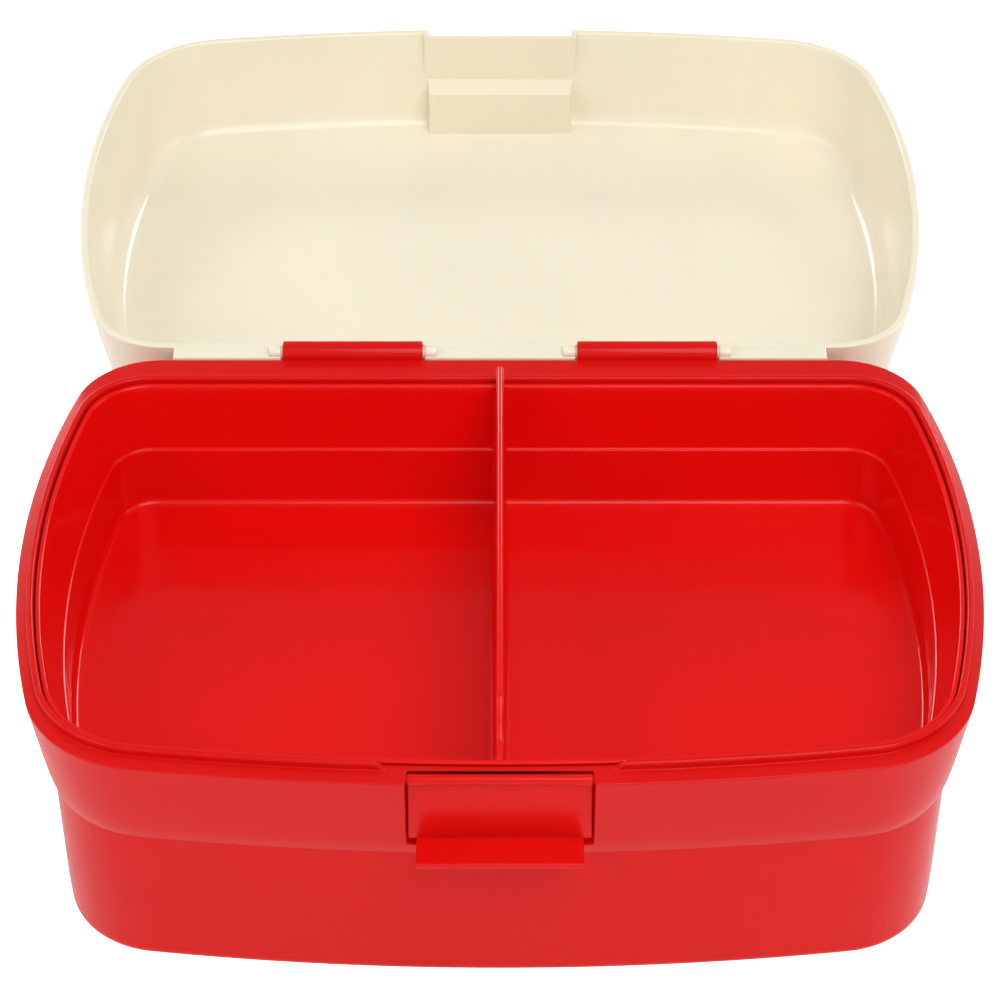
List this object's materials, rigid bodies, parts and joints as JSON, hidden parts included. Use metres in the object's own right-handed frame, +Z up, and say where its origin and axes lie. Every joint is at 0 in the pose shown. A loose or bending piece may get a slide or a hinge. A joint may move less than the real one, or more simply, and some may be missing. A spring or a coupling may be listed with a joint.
{
  "type": "lunch box",
  "caption": "Rounded plastic lunch box with a lid hinged at the rear, a swing-over latch clip at the front and a lift-out tray with a raised divider",
  "frame": {"origin": "on the base's underside, at the middle of the rim", "axes": "+X to the right, +Y to the rear where the hinge is, +Z up; the lid lies folded flat open to the rear"},
  "size_m": [0.1758, 0.2529, 0.0558],
  "materials": {
    "base_red": "satin moulded polypropylene",
    "tray_red": "satin moulded polypropylene",
    "clip_red": "satin moulded polypropylene",
    "lid_cream": "satin moulded polypropylene"
  },
  "bodies": {
    "base": {"base_shell": "base_red", "tray_support_ribs": "base_red", "hinge_barrel_left": "base_red", "hinge_barrel_right": "base_red"},
    "tray": {"tray_shell": "tray_red", "tray_divider": "tray_red"},
    "clip": {"latch_clip": "clip_red"},
    "lid": {"lid_shell": "lid_cream", "lid_latch_box": "lid_cream", "lid_hinge_pin_left": "lid_cream", "lid_hinge_pin_right": "lid_cream"}
  },
  "joints": [
    {"name": "lid_hinge", "type": "hinge", "parent": "base", "child": "lid", "pos_m": [0, 0.0634, 0.05015], "axis": [1, 0, 0], "range_deg": [0, 180]},
    {"name": "clip_hinge", "type": "hinge", "parent": "base", "child": "clip", "pos_m": [0, -0.0589, 0.049], "axis": [-1, 0, 0], "range_deg": [0, 180]},
    {"name": "tray_lift", "type": "slide", "parent": "base", "child": "tray", "axis": [0, 0, 1], "range_m": [0, 0.007]}
  ]
}
